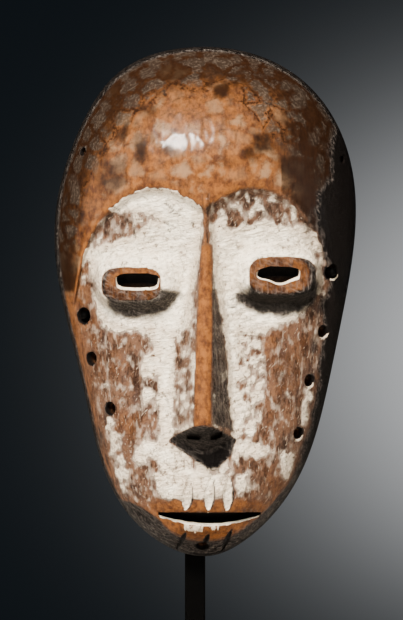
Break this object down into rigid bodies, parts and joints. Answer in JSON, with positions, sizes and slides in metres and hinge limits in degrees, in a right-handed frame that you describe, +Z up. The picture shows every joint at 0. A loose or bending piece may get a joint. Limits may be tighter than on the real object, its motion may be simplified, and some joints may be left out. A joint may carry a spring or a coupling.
{
  "type": "lega mask",
  "caption": "Oval carved wooden mask with a whitened heart-shaped face, slotted eyes and a hollow back, held on a black post and base.",
  "frame": {"origin": "centre of the underside of the stand's base", "axes": "+Z up the stand towards the mask's crown, -Y out of the mask's face, +X towards the mask's left side, which a viewer in front sees on the right"},
  "size_m": [0.1774, 0.1206, 0.384],
  "materials": {
    "carved_wood": "worn stain, soot and white clay over carved wood",
    "black_steel": "satin black paint",
    "black_base": "satin black lacquer"
  },
  "bodies": {
    "root": {"mask": "carved_wood", "stand_post": "black_steel", "stand_base": "black_base"}
  },
  "joints": []
}
